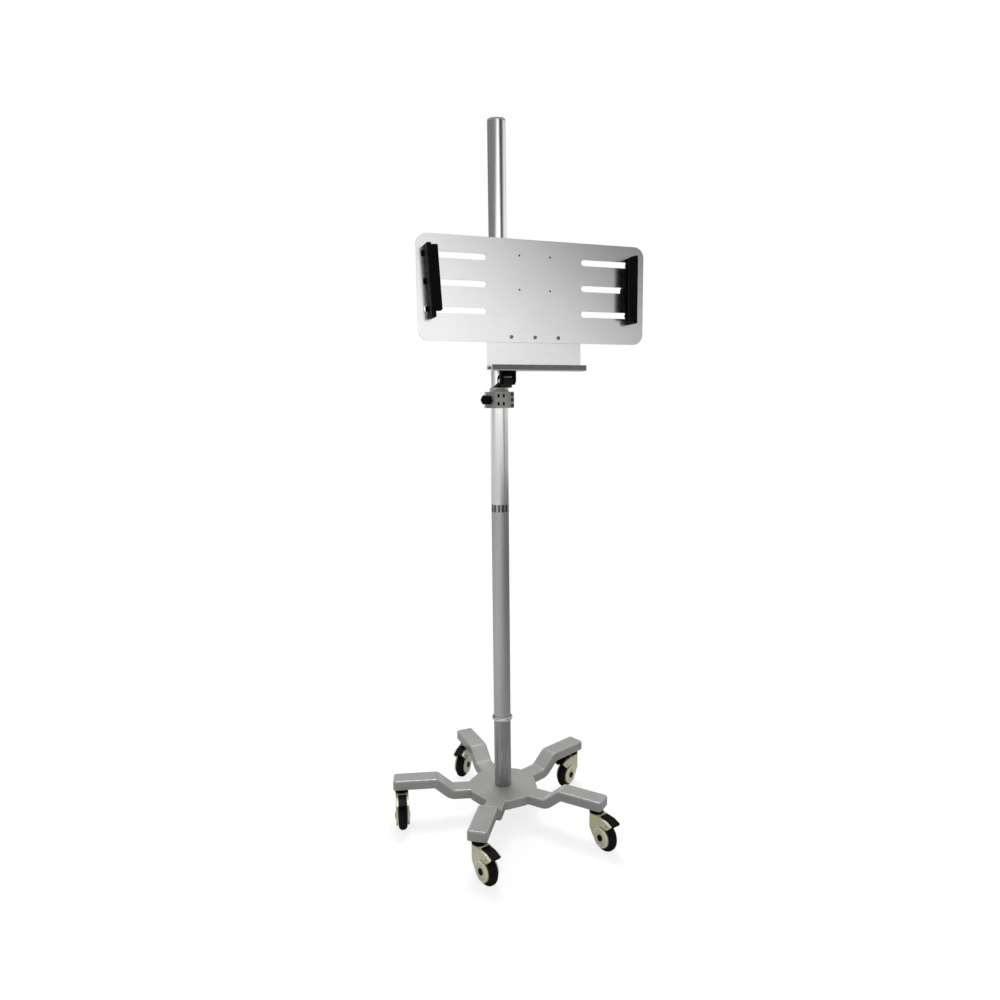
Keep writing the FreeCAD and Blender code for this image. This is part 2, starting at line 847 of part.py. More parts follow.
def make_tilt_bracket():
    """Clevis behind the lower bracket: a tab screwed to its back and two wedge-shaped cheeks."""
    tab_low = pivot_level + tab_drop
    tab = prism_y([
        (-cheek_outer, tab_low, 0), (cheek_outer, tab_low, 0),
        (cheek_outer, tab_low + tab_height, tab_corner), (-cheek_outer, tab_low + tab_height, tab_corner),
    ], flange_rear_y, flange_rear_y + tab_thickness)
    side = [
        (flange_rear_y, pivot_level + cheek_top, 0),
        (flange_rear_y, pivot_level, cheek_round),
        (pivot_y - cheek_round, pivot_level - cheek_bottom, cheek_round),
        (pivot_y + cheek_rear / 2, pivot_level - cheek_bottom, cheek_round),
        (pivot_y + cheek_rear, pivot_level, cheek_round),
        (pivot_y + cheek_rear, pivot_level + cheek_rear_top, cheek_round),
    ]
    cheeks = [prism_x(side, low, low + cheek_thickness) for low in (-cheek_outer, cheek_gap / 2)]
    bracket = fused([tab] + cheeks)
    bracket = bracket.cut(rod(hinge_radius + fixed_clearance, V(-cheek_outer - 1, pivot_y, pivot_level),
                              V(cheek_outer + 1, pivot_y, pivot_level)))
    for x, level in tab_screw_places():
        bracket = bracket.cut(rod(tab_screw_radius + fixed_clearance, V(x, plate_rear_y, level),
                                  V(x, 0, level)))
    bracket = bracket.cut(hexagon(hinge_nut_width + 2 * fixed_clearance,
                                  V(cheek_outer - hinge_nut_height, pivot_y, pivot_level),
                                  V(cheek_outer + through_margin, pivot_y, pivot_level)))
    return bracket.translated(V(hinge_shift, 0, 0))


def make_tilt_screws():
    screws = []
    for x, level in tab_screw_places():
        seat = V(x, flange_rear_y + tab_thickness, level)
        head = hexagon(2 * tab_screw_head_radius, seat, seat + V(0, tab_screw_head_height, 0))
        screws.append(fused([rod(tab_screw_radius, V(x, plate_rear_y, level), seat), head]))
    return Part.makeCompound(screws).translated(V(hinge_shift, 0, 0))


def make_hinge():
    left = V(hinge_shift - cheek_outer, pivot_y, pivot_level)
    right = V(hinge_shift + cheek_outer, pivot_y, pivot_level)
    head_end = left - V(hinge_head_height, 0, 0)
    head = rod(hinge_head_radius, head_end, left)
    write("hinge_bolt", fused([head, rod(hinge_radius, left, right)]))
    nut = hexagon(hinge_nut_width, right - V(hinge_nut_height, 0, 0), right)
    write("hinge_nut", nut.cut(rod(hinge_radius + fixed_clearance, left, right + ALONG_X)))


# Plate and lower bracket

def make_plate():
    low_x = plate_centre_x + plate_offset - plate_width / 2
    high_x = plate_centre_x + plate_offset + plate_width / 2
    high_z = plate_level + plate_height / 2
    plate = prism_y([
        (low_x, plate_bottom, plate_corner), (high_x, plate_bottom, plate_corner),
        (high_x, high_z, plate_corner), (low_x, high_z, plate_corner),
    ], plate_front_y, plate_rear_y)
    for side in (-1, 1):
        ends = sorted((plate_centre_x + side * slot_inner, plate_centre_x + side * slot_outer))
        for row in (-1, 0, 1):
            level = slot_mid + row * slot_pitch
            radius = slot_width / 2
            plate = plate.cut(prism_y([
                (ends[0] - radius, level - radius, radius * 0.999),
                (ends[1] + radius, level - radius, radius * 0.999),
                (ends[1] + radius, level + radius, radius * 0.999),
                (ends[0] - radius, level + radius, radius * 0.999),
            ], plate_front_y - through_margin, plate_rear_y + through_margin))
    half = monitor_hole_spacing / 2
    for side in (-1, 1):
        for row in (-1, 1):
            plate = plate.cut(plate_drill(plate_centre_x + side * half,
                                          plate_level + monitor_hole_rise + row * half,
                                          monitor_hole_radius))
    for x in bracket_screw_places():
        plate = plate.cut(plate_drill(x, bracket_screw_level(), bracket_screw_radius + fixed_clearance))
    return plate


def plate_drill(x, z, radius):
    return rod(radius, V(x, plate_front_y - through_margin, z), V(x, flange_rear_y + through_margin, z))


def bracket_screw_places():
    return [plate_centre_x + i * bracket_screw_spacing for i in (-1, 0, 1)]


def bracket_screw_level():
    return plate_bottom + bracket_screw_inset


def make_lower_bracket():
    """Sheet behind the plate that folds forward into a ledge with an upturned lip."""
    sheet = bracket_sheet
    bend = bracket_bend
    points = [
        (plate_rear_y, bracket_top, 0), (plate_rear_y, ledge_top, bend),
        (lip_front_y + sheet, ledge_top, bend / 2), (lip_front_y + sheet, lip_top, 0),
        (lip_front_y, lip_top, 0), (lip_front_y, ledge_underside, bend / 2 + sheet),
        (flange_rear_y, ledge_underside, bend + sheet), (flange_rear_y, bracket_top, 0),
    ]
    low_x = plate_centre_x - bracket_width / 2
    bracket = prism_x(points, low_x, low_x + bracket_width)
    for x in bracket_screw_places():
        bracket = bracket.cut(plate_drill(x, bracket_screw_level(),
                                          bracket_screw_radius + fixed_clearance))
    for x, level in tab_screw_places():
        bracket = bracket.cut(rod(tab_screw_radius + fixed_clearance,
                                  V(hinge_shift + x, plate_rear_y - through_margin, level),
                                  V(hinge_shift + x, flange_rear_y + through_margin, level)))
    return bracket


def make_ledge_trim():
    """Edging pressed over the lip: a channel open at the bottom."""
    outer = trim_wall + fixed_clearance
    front = lip_front_y - outer
    rear = lip_front_y + bracket_sheet + outer
    top = lip_top + trim_wall
    low = lip_top - trim_depth
    gap = fixed_clearance
    half = bracket_width / 2 - trim_end_gap
    return prism_x([
        (front, low, 0), (front, top, trim_round), (rear, top, trim_round),
        (rear, lip_top - trim_depth / 2, 0),
        (lip_front_y + bracket_sheet + gap, lip_top - trim_depth / 2, 0),
        (lip_front_y + bracket_sheet + gap, lip_top + gap, 0), (lip_front_y - gap, lip_top + gap, 0),
        (lip_front_y - gap, low, 0),
    ], plate_centre_x - half, plate_centre_x + half)


def make_bracket_screws():
    screws = []
    level = bracket_screw_level()
    for x in bracket_screw_places():
        front = V(x, plate_front_y, level)
        rear = V(x, flange_rear_y, level)
        head_end = front - V(0, bracket_screw_head_height, 0)
        head = rod(bracket_screw_head_radius, front, head_end)
        head = round_edges(head, 0.8, lambda edge: abs(edge.BoundBox.YMax - head_end.y) < 1e-4)
        nut_end = rear + V(0, bracket_nut_height, 0)
        nut = hexagon(bracket_nut_width, rear, nut_end)
        screw = fused([head, rod(bracket_screw_radius, front, nut_end), nut])
        socket = rod(bracket_screw_socket_radius, head_end + V(0, bracket_screw_head_height / 2, 0),
                     head_end - V(0, through_margin, 0))
        screws.append(screw.cut(socket))
    return Part.makeCompound(screws)


# Grips, built at the middle slot's axis with the closed side towards -X

def grip_levels():
    return [row * slot_pitch for row in (-1, 0, 1)]


def make_grip():
    rear = plate_front_y - grip_standoff
    front = rear - grip_depth
    low_x = -grip_outer
    inner_x = low_x + grip_width
    web_x = low_x + grip_web
    web = box(low_x, web_x, front, rear, -grip_below, grip_above)
    web = round_edges(web, grip_corner, lambda edge: edge.BoundBox.ZLength > grip_below
                      and abs(edge.BoundBox.YMax - front) < 1e-4)
    flange_low = -grip_below + grip_lip_bottom_cut
    flange_high = grip_above - grip_lip_top_cut
    lip = prism_y([
        (low_x + grip_corner, flange_low, 0), (inner_x, flange_low, grip_chamfer),
        (inner_x, flange_high, grip_corner), (low_x + grip_corner, flange_high, 0),
    ], front, front + grip_lip)
    foot = box(low_x + grip_corner, low_x + grip_foot_width, rear - grip_foot, rear, flange_low, flange_high)
    for level in (grip_levels()[0], grip_levels()[-1]):
        foot = foot.cut(box(web_x, inner_x, rear - grip_foot, rear,
                            level - grip_notch / 2, level + grip_notch / 2))
    grip = fused([web, lip, foot])
    for level in grip_levels():
        grip = grip.cut(rod(grip_screw_radius + fixed_clearance, V(0, rear - grip_screw_depth, level),
                            V(0, rear + 1, level)))
    return grip


def make_grip_blocks():
    """Guide blocks: a flat head under the grip's foot and a round neck in each slot."""
    rear = plate_front_y - grip_standoff
    blocks = []
    for level in grip_levels():
        head = box(-block_outer, block_inner, rear, plate_front_y - block_play,
                   level - block_height / 2, level + block_height / 2)
        neck = rod(block_neck_radius, V(0, plate_front_y - block_play, level),
                   V(0, plate_rear_y + block_play, level))
        thread = rod(grip_screw_radius + running_clearance, V(0, rear - 1, level),
                     V(0, plate_rear_y + 1, level))
        blocks.append(fused([head, neck]).cut(thread))
    return Part.makeCompound(blocks)


def make_grip_screws():
    """Screws with wide washers behind the outer slots."""
    washer_y = plate_rear_y + block_play
    screws = []
    for level in (grip_levels()[0], grip_levels()[-1]):
        head_y = washer_y + grip_washer_height
        end_y = head_y + grip_screw_head_height
        washer = box(-grip_washer_width / 2, grip_washer_width / 2, washer_y, head_y,
                     level - grip_washer_tall / 2, level + grip_washer_tall / 2)
        screw = fused([
            rod(grip_screw_radius, V(0, plate_front_y - grip_standoff - grip_screw_depth, level),
                V(0, washer_y, level)),
            washer,
            rod(grip_screw_head_radius, V(0, head_y, level), V(0, end_y, level)),
        ])
        screws.append(screw.cut(rod(grip_screw_socket_radius,
                                    V(0, end_y - grip_screw_socket_depth, level),
                                    V(0, end_y + 1, level))))
    return Part.makeCompound(screws)


def make_grip_knob():
    back = plate_rear_y + block_play
    stud = plate_thickness + block_play + grip_standoff + grip_screw_depth
    knob = lobed_knob(grip_knob_radius, grip_knob_length, grip_screw_radius, stud, grip_washer_height)
    flange = rod_z(grip_washer_tall / 2, -grip_washer_height, 0)
    knob = fused([knob, flange]).rotated(ORIGIN, ALONG_X, -90)
    return knob.translated(V(0, back + grip_washer_height, 0))


def make_grips():
    pieces = {"grip": make_grip(), "grip_blocks": make_grip_blocks(),
              "grip_screws": make_grip_screws(), "grip_knob": make_grip_knob()}
    for kind, piece in pieces.items():
        left = piece.rotated(ORIGIN, ALONG_Y, -left_grip_skew)
        write("left_" + kind, left.translated(V(plate_centre_x - left_grip_place, 0, slot_mid)))
        right = piece.mirror(ORIGIN, ALONG_X)
        write("right_" + kind, right.translated(V(plate_centre_x + right_grip_place, 0, slot_mid)))


os.makedirs("parts", exist_ok=True)
make_base()
make_swivels()
make_casters()
make_column()
make_collar()
make_head()
write("tilt_bracket", make_tilt_bracket())
write("tilt_screws", make_tilt_screws())
make_hinge()
write("back_plate", make_plate())
write("lower_bracket", make_lower_bracket())
write("ledge_trim", make_ledge_trim())
write("bracket_screws", make_bracket_screws())
make_grips()
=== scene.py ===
import json
import math

import bmesh
import bpy
from mathutils import Matrix, Vector


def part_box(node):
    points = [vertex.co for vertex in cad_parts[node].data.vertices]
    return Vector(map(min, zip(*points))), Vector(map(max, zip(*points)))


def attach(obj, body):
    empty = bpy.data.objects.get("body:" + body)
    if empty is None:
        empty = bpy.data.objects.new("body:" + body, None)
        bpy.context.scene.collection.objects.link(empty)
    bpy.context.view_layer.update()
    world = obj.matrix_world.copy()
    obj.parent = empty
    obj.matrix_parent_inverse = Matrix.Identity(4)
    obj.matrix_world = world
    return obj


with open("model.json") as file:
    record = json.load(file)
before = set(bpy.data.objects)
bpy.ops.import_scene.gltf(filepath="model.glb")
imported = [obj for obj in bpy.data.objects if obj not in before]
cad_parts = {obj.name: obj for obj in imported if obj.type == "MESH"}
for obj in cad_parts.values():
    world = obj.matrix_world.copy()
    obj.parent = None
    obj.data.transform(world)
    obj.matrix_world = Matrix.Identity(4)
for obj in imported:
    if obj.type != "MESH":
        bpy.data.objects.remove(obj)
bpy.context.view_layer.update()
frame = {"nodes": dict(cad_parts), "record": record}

# Materials. Every pattern is laid out in the row frame, in metres, by object coordinates.


class Surface:
    """Node material that starts as one Principled shader over object coordinates."""

    def __init__(self, name, metallic=0.0, specular=0.5, coat=0.0, coat_roughness=0.1):
        self.material = bpy.data.materials.new(name)
        self.material.use_nodes = True
        self.nodes = self.material.node_tree.nodes
        self.links = self.material.node_tree.links
        self.shader = self.nodes["Principled BSDF"]
        self.shader.inputs["Metallic"].default_value = metallic
        self.shader.inputs["Specular IOR Level"].default_value = specular
        self.shader.inputs["Coat Weight"].default_value = coat
        self.shader.inputs["Coat Roughness"].default_value = coat_roughness
        self.place = self.nodes.new("ShaderNodeTexCoord").outputs["Object"]

    def stretched(self, scale):
        node = self.nodes.new("ShaderNodeMapping")
        node.inputs["Scale"].default_value = scale
        self.links.new(self.place, node.inputs["Vector"])
        return node.outputs["Vector"]

    def noise(self, scale, detail=3.0, rough=0.55, stretch=None):
        node = self.nodes.new("ShaderNodeTexNoise")
        node.inputs["Scale"].default_value = scale
        node.inputs["Detail"].default_value = detail
        node.inputs["Roughness"].default_value = rough
        self.links.new(self.stretched(stretch) if stretch else self.place, node.inputs["Vector"])
        return node.outputs["Fac"]

    def ramp(self, value, stops):
        """Colour ramp through (position, grey or colour) stops."""
        node = self.nodes.new("ShaderNodeValToRGB")
        elements = node.color_ramp.elements
        while len(elements) < len(stops):
            elements.new(0.5)
        for element, (position, colour) in zip(elements, stops):
            element.position = position
            if not isinstance(colour, (tuple, list)):
                colour = (colour, colour, colour)
            element.color = (*colour, 1)
        self.links.new(value, node.inputs["Fac"])
        return node.outputs["Color"]

    def mix(self, first, second, factor, blend="MIX"):
        node = self.nodes.new("ShaderNodeMix")
        node.data_type = "RGBA"
        node.blend_type = blend
        pairs = ((node.inputs[0], factor), (node.inputs[6], first), (node.inputs[7], second))
        for socket, given in pairs:
            if isinstance(given, bpy.types.NodeSocket):
                self.links.new(given, socket)
            elif isinstance(given, (tuple, list)):
                socket.default_value = (*given, 1)
            else:
                socket.default_value = given
        return node.outputs[2]

    def spread(self, value, low, high, start=0.3, end=0.7):
        """Map a value between start and end to low and high."""
        node = self.nodes.new("ShaderNodeMapRange")
        node.inputs["From Min"].default_value = start
        node.inputs["From Max"].default_value = end
        node.inputs["To Min"].default_value = low
        node.inputs["To Max"].default_value = high
        self.links.new(value, node.inputs["Value"])
        return node.outputs["Result"]

    def calculate(self, operation, first, second=0.0):
        node = self.nodes.new("ShaderNodeMath")
        node.operation = operation
        for socket, given in zip(node.inputs, (first, second)):
            if isinstance(given, bpy.types.NodeSocket):
                self.links.new(given, socket)
            else:
                socket.default_value = given
        return node.outputs[0]

    def turn_angle(self):
        """Angle about the column's axis, in radians."""
        node = self.nodes.new("ShaderNodeSeparateXYZ")
        self.links.new(self.place, node.inputs[0])
        return self.calculate("ARCTAN2", node.outputs["Y"], node.outputs["X"])

    def wave(self, value, count):
        """Wave between 0 and 1 that repeats count times in a full turn of value."""
        swing = self.calculate("SINE", self.calculate("MULTIPLY", value, count))
        return self.calculate("MULTIPLY", self.calculate("ADD", swing, 1.0), 0.5)

    def colour(self, value):
        self.links.new(value, self.shader.inputs["Base Color"])

    def roughness(self, value):
        self.links.new(value, self.shader.inputs["Roughness"])

    def bump(self, heights):
        """Stack bumps of (height value, depth in metres, strength)."""
        normal = None
        for value, depth, strength in heights:
            node = self.nodes.new("ShaderNodeBump")
            node.inputs["Distance"].default_value = depth
            node.inputs["Strength"].default_value = strength
            self.links.new(value, node.inputs["Height"])
            if normal:
                self.links.new(normal, node.inputs["Normal"])
            normal = node.outputs["Normal"]
        self.links.new(normal, self.shader.inputs["Normal"])


def painted(name, tone, grain=900.0, gloss=(0.38, 0.5), depth=0.00012, specular=0.45, coat=0.0):
    """Sprayed paint: soft blotches, a fine orange-peel grain and a few rubbed spots."""
    s = Surface(name, specular=specular, coat=coat)
    dark = tuple(c * 0.9 for c in tone)
    light = tuple(min(c * 1.08, 1) for c in tone)
    blotch = s.ramp(s.noise(9, 4), [(0.35, dark), (0.65, light)])
    speck = s.ramp(s.noise(grain * 1.5, 2), [(0.42, tuple(c * 0.86 for c in tone)), (0.6, light)])
    s.colour(s.mix(blotch, speck, 0.3))
    s.roughness(s.spread(s.noise(35, 4), *gloss))
    s.bump([(s.noise(grain, 2), depth, 0.35), (s.noise(60, 2), depth * 2, 0.12)])
    return s.material


def brushed(name, tone, rough, stretch, scale=260.0, depth=0.00003, spread=0.06, contrast=0.05):
    """Metal with a grain that runs along the axis that is stretched least."""
    s = Surface(name, metallic=1.0)
    grain = s.noise(scale, 4, 0.65, stretch)
    fine = s.noise(scale * 4, 2, 0.6, stretch)
    low = tuple(c * (1 - contrast) for c in tone)
    high = tuple(min(c * (1 + contrast), 1) for c in tone)
    base = s.ramp(grain, [(0.3, low), (0.7, high)])
    cloud = s.ramp(s.noise(5, 3), [(0.3, 0.94), (0.7, 1.0)])
    s.colour(s.mix(base, cloud, 1.0, "MULTIPLY"))
    s.roughness(s.spread(fine, rough - spread, rough + spread))
    s.bump([(grain, depth, 0.3), (fine, depth, 0.25)])
    return s.material


def plastic(name, tone, gloss=(0.4, 0.55), grain=1600.0, depth=0.00006, specular=0.5, coat=0.0):
    """Moulded plastic with a fine grain and slight tone changes."""
    s = Surface(name, specular=specular, coat=coat)
    low = tuple(c * 0.85 for c in tone)
    high = tuple(min(c * 1.12, 1) for c in tone)
    s.colour(s.ramp(s.noise(28, 4), [(0.3, low), (0.7, high)]))
    s.roughness(s.spread(s.noise(120, 3), *gloss))
    s.bump([(s.noise(grain, 2), depth, 0.4)])
    return s.material


def rubber(name, tone, dust, specular=0.3):
    """Rubber with a bloom of pale dust in random patches."""
    s = Surface(name, specular=specular)
    base = s.ramp(s.noise(400, 3), [(0.3, tuple(c * 0.8 for c in tone)), (0.7, tone)])
    bloom = s.ramp(s.noise(45, 5, 0.7), [(0.5, 0.0), (0.75, 0.35)])
    s.colour(s.mix(base, dust, bloom))
    s.roughness(s.spread(s.noise(90, 3), 0.55, 0.75))
    s.bump([(s.noise(1300, 2), 0.00008, 0.5)])
    return s.material


def fluted_with_painted_reflection(name, tone, dark, strips):
    """Polished band with upright flutes in its bump; dark and light strips in step with the flutes
    are painted into its colour as painted reflection, with darker upright patches over them.
    """
    s = Surface(name, metallic=1.0)
    angle = s.turn_angle()
    flute = s.wave(angle, strips)
    patchy = s.ramp(s.noise(55, 2, 0.5, (1, 1, 0.1)), [(0.4, 0.0), (0.6, 1.0)])
    # Strips darker in the flutes' grooves: painted reflection in the colour
    shade = s.mix(s.ramp(flute, [(0.25, dark), (0.7, tone)]), tone, 0.15)
    s.colour(s.mix(shade, s.mix(shade, dark, 0.75), patchy))
    s.roughness(s.spread(s.noise(700, 2), 0.14, 0.24))
    s.bump([(flute, 0.0003, 0.5)])
    return s.material


materials = {
    "grey_paint": painted("grey_paint", (0.29, 0.29, 0.28), gloss=(0.3, 0.38),
                          specular=0.4, coat=0.6),
    "dark_paint": painted("dark_paint", (0.006, 0.006, 0.006), gloss=(0.35, 0.5), specular=0.2),
    "black_paint": painted("black_paint", (0.002, 0.002, 0.002), gloss=(0.45, 0.6), specular=0.04),
    "collar_metal": painted("collar_metal", (0.3, 0.296, 0.275), grain=1500.0,
                            gloss=(0.25, 0.35), specular=0.7),
    "black_plastic": plastic("black_plastic", (0.003, 0.003, 0.0035), specular=0.06),
    "grip_black": plastic("grip_black", (0.002, 0.002, 0.002), gloss=(0.5, 0.65), specular=0.08),
    "grey_plastic": plastic("grey_plastic", (0.4, 0.4, 0.41)),
    "caster_plastic": plastic("caster_plastic", (0.6, 0.585, 0.4), gloss=(0.3, 0.4),
                              grain=900.0, coat=0.6),
    # Lighter copy of the caster plastic: painted highlight on the fork rims
    "rim_highlight_plastic": plastic("rim_highlight_plastic", (0.8, 0.785, 0.62), gloss=(0.3, 0.4),
                           grain=900.0, coat=0.6),
    "hub_plastic": plastic("hub_plastic", (0.48, 0.46, 0.32)),
    "zinc_steel": brushed("zinc_steel", (0.62, 0.62, 0.6), 0.35, (1, 1, 1), 500.0),
    "dark_steel": brushed("dark_steel", (0.1, 0.1, 0.1), 0.4, (1, 1, 1), 500.0),
    "post_steel": brushed("post_steel", (0.36, 0.36, 0.36), 0.26, (1, 1, 0.02), 500.0,
                          contrast=0.03),
    "satin_tube": brushed("satin_tube", (0.52, 0.52, 0.525), 0.3, (1, 1, 0.02), 500.0,
                          contrast=0.03),
    "bright_tube": brushed("bright_tube", (0.88, 0.885, 0.89), 0.17, (1, 1, 0.02), 500.0,
                           spread=0.03, contrast=0.02),
    "polished_ring": brushed("polished_ring", (0.8, 0.8, 0.8), 0.1, (1, 1, 1), 150.0, spread=0.04),
    "fluted_band": fluted_with_painted_reflection("fluted_band", (0.8, 0.79, 0.74), (0.03, 0.028, 0.02), 13),
    "plate_steel": brushed("plate_steel", (0.79, 0.79, 0.795), 0.23, (0.02, 1, 1), 900.0,
                           depth=0.000004, spread=0.04, contrast=0.03),
    "screw_steel": brushed("screw_steel", (0.2, 0.2, 0.2), 0.3, (1, 1, 1), 500.0),
    "trim_rubber": rubber("trim_rubber", (0.16, 0.16, 0.16), (0.34, 0.34, 0.33)),
    "tyre_rubber": rubber("tyre_rubber", (0.004, 0.004, 0.005), (0.014, 0.014, 0.014),
                          specular=0.12),
}


def give(obj, material):
    """Put one material in all slots of an object."""
    if not obj.material_slots:
        obj.data.materials.append(material)
    for slot in obj.material_slots:
        slot.material = material


for entry in frame["record"]["subparts"]:
    give(frame["nodes"][entry["node"]], materials[entry["material_slot"]])
give(frame["nodes"]["band_coupler"], materials["fluted_band"])
give(frame["nodes"]["bracket_screws"], materials["screw_steel"])
for node in ("left_grip", "right_grip", "collar_knob"):
    give(frame["nodes"][node], materials["grip_black"])


# Small fittings that the solids leave out

# Half the width over a caster fork's side plates
FORK_HALF = 0.01575

# Rear face of the back plate and the places of its four monitor holes
PLATE_REAR = -0.067
HOLE_X = (0.0275, 0.1025)
HOLE_Z = (1.2991, 1.3741)

# Raised face of the collar: heading, height of its middle and distance from the axis of the dark
# pads that paint shade into its pockets
COLLAR_HEADING = math.radians(-101.5)
COLLAR_MIDDLE = 1.053
SHADE_PAD_DISTANCE = 0.03365


def add_piece(name, shape, body, material):
    """Make an object from a bmesh, which is freed, and ride it on a body."""
    mesh = bpy.data.meshes.new(name)
    shape.to_mesh(mesh)
    shape.free()
    piece = bpy.data.objects.new(name, mesh)
    bpy.context.scene.collection.objects.link(piece)
    give(piece, material)
    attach(piece, body)
    return piece


def lathe(shape, profile, place, axis, segments=32):
    """Turn a closed (radius, height) profile about an axis through place."""
    turn = Vector((0, 0, 1)).rotation_difference(Vector(axis)).to_matrix()
    rings = []
    for i in range(segments):
        angle = 2 * math.pi * i / segments
        ring = []
        for radius, height in profile:
            point = turn @ Vector((radius * math.cos(angle), radius * math.sin(angle), height))
            ring.append(shape.verts.new(point + Vector(place)))
        rings.append(ring)
    count = len(profile)
    for i in range(segments):
        here, following = rings[i], rings[(i + 1) % segments]
        for j in range(count):
            k = (j + 1) % count
            face = shape.faces.new((here[j], following[j], following[k], here[k]))
            face.smooth = False


def make_plate_nuts():
    """Blind threaded bushes pressed into the back of the plate's four monitor holes."""
    shape = bmesh.new()
    length = 0.0045
    outer, bore = 0.0042, 0.00215
    chamfer = 0.0004
    spigot = 0.0012
    profile = [(bore, -spigot), (bore, length), (outer - chamfer, length),
               (outer, length - chamfer), (outer, 0.0), (bore + 0.0001, 0.0)]
    plug_radius = bore + 0.0002
    plug_depth = 0.001
    plug_middle = length - 0.0007
    along_y = Matrix.Rotation(math.radians(90), 4, "X")
    for x in HOLE_X:
        for z in HOLE_Z:
            lathe(shape, profile, (x, PLATE_REAR, z), (0, 1, 0))
            place = Matrix.Translation((x, PLATE_REAR + plug_middle, z)) @ along_y
            bmesh.ops.create_cone(shape, cap_ends=True, segments=32, radius1=plug_radius,
                                  radius2=plug_radius, depth=plug_depth, matrix=place)
    return add_piece("plate_nuts", shape, "plate", materials["dark_steel"])


def bevelled_box(shape, size, centre, turn, edge):
    """Add a box of the given size with rounded edges, turned and then moved to centre."""
    made = bmesh.ops.create_cube(shape, size=1.0)
    bmesh.ops.scale(shape, vec=Vector(size), verts=made["verts"])
    edges = list({e for v in made["verts"] for e in v.link_edges})
    made = bmesh.ops.bevel(shape, geom=edges, offset=edge, segments=2, affect="EDGES")
    corners = list({v for f in made["faces"] for v in f.verts})
    sides = {v for corner in corners for e in corner.link_edges for v in e.verts}
    for vert in set(corners) | sides:
        vert.co = turn @ vert.co + centre


def make_pocket_shade_pads():
    """Dark pads at the bottom of the four pockets in the collar's raised face, painted shade that
    makes the pockets read dark.
    """
    shape = bmesh.new()
    pad = (0.0013, 0.0052, 0.0077)
    edge = 0.0004
    across, rise = 0.0062, 0.0092
    out = Vector((math.cos(COLLAR_HEADING), math.sin(COLLAR_HEADING), 0))
    along = Vector((-out.y, out.x, 0))
    turn = Matrix((out, along, Vector((0, 0, 1)))).transposed()
    for side in (-1, 1):
        for row in (-1, 1):
            level = Vector((0, 0, COLLAR_MIDDLE + row * rise))
            centre = out * SHADE_PAD_DISTANCE + along * (side * across) + level
            bevelled_box(shape, pad, centre, turn, edge)
    return add_piece("pocket_shade_pads", shape, "collar", materials["grip_black"])


def make_fork_rims(place):
    """Raised ring round the axle on both sides of a caster's fork, in a lighter tone than the fork
    that paints a highlight on the ring.
    """
    shape = bmesh.new()
    low, high = [Vector(corner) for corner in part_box(place + "_axle")]
    middle = (low + high) / 2
    roll = [entry for entry in frame["record"]["behaviour"]["joints"]
            if entry["name"] == place + "_roll"][0]
    axis = Vector(roll["axis"])
    inner, outer = 0.0195, 0.023
    round_off = 0.0006
    foot, shoulder, crest = FORK_HALF - 0.0002, FORK_HALF + 0.0003, FORK_HALF + 0.0008
    profile = [(inner, foot), (outer, foot), (outer, shoulder),
               (outer - round_off, crest), (inner + round_off, crest), (inner, shoulder)]
    for side in (-1, 1):
        lathe(shape, profile, middle, axis * side, 48)
    return add_piece(place + "_fork_rims", shape, place + "_caster",
                     materials["rim_highlight_plastic"])


make_plate_nuts()
# Dark pads in the collar's pockets stand in for the shade in them
make_pocket_shade_pads()
# The fork rims are lighter in tone than the fork, a painted highlight
for caster in ("front", "right", "right_rear", "rear", "left"):
    make_fork_rims(caster)


# Stage: pale floor, soft lights and the camera at the photograph's angle

def plain(name, tone):
    """Matte material of one tone, with its nodes, links and shader."""
    material = bpy.data.materials.new(name)
    material.use_nodes = True
    nodes, links = material.node_tree.nodes, material.node_tree.links
    shader = nodes["Principled BSDF"]
    shader.inputs["Base Color"].default_value = (*tone, 1)
    shader.inputs["Roughness"].default_value = 0.9
    shader.inputs["Specular IOR Level"].default_value = 0.0
    return material, nodes, links, shader


def ray_share(nodes, links, *kinds):
    """Output that is 1 for a ray of any of the given kinds and 0 for the rest."""
    path = nodes.new("ShaderNodeLightPath")
    total = path.outputs[kinds[0]]
    for kind in kinds[1:]:
        node = nodes.new("ShaderNodeMath")
        node.operation = "MAXIMUM"
        links.new(total, node.inputs[0])
        links.new(path.outputs[kind], node.inputs[1])
        total = node.outputs[0]
    return total


def mixed(nodes, links, factor, first, second):
    """Output of a shader that goes from first to second as factor goes from 0 to 1."""
    node = nodes.new("ShaderNodeMixShader")
    links.new(factor, node.inputs[0])
    links.new(first, node.inputs[1])
    links.new(second, node.inputs[2])
    return node.outputs[0]


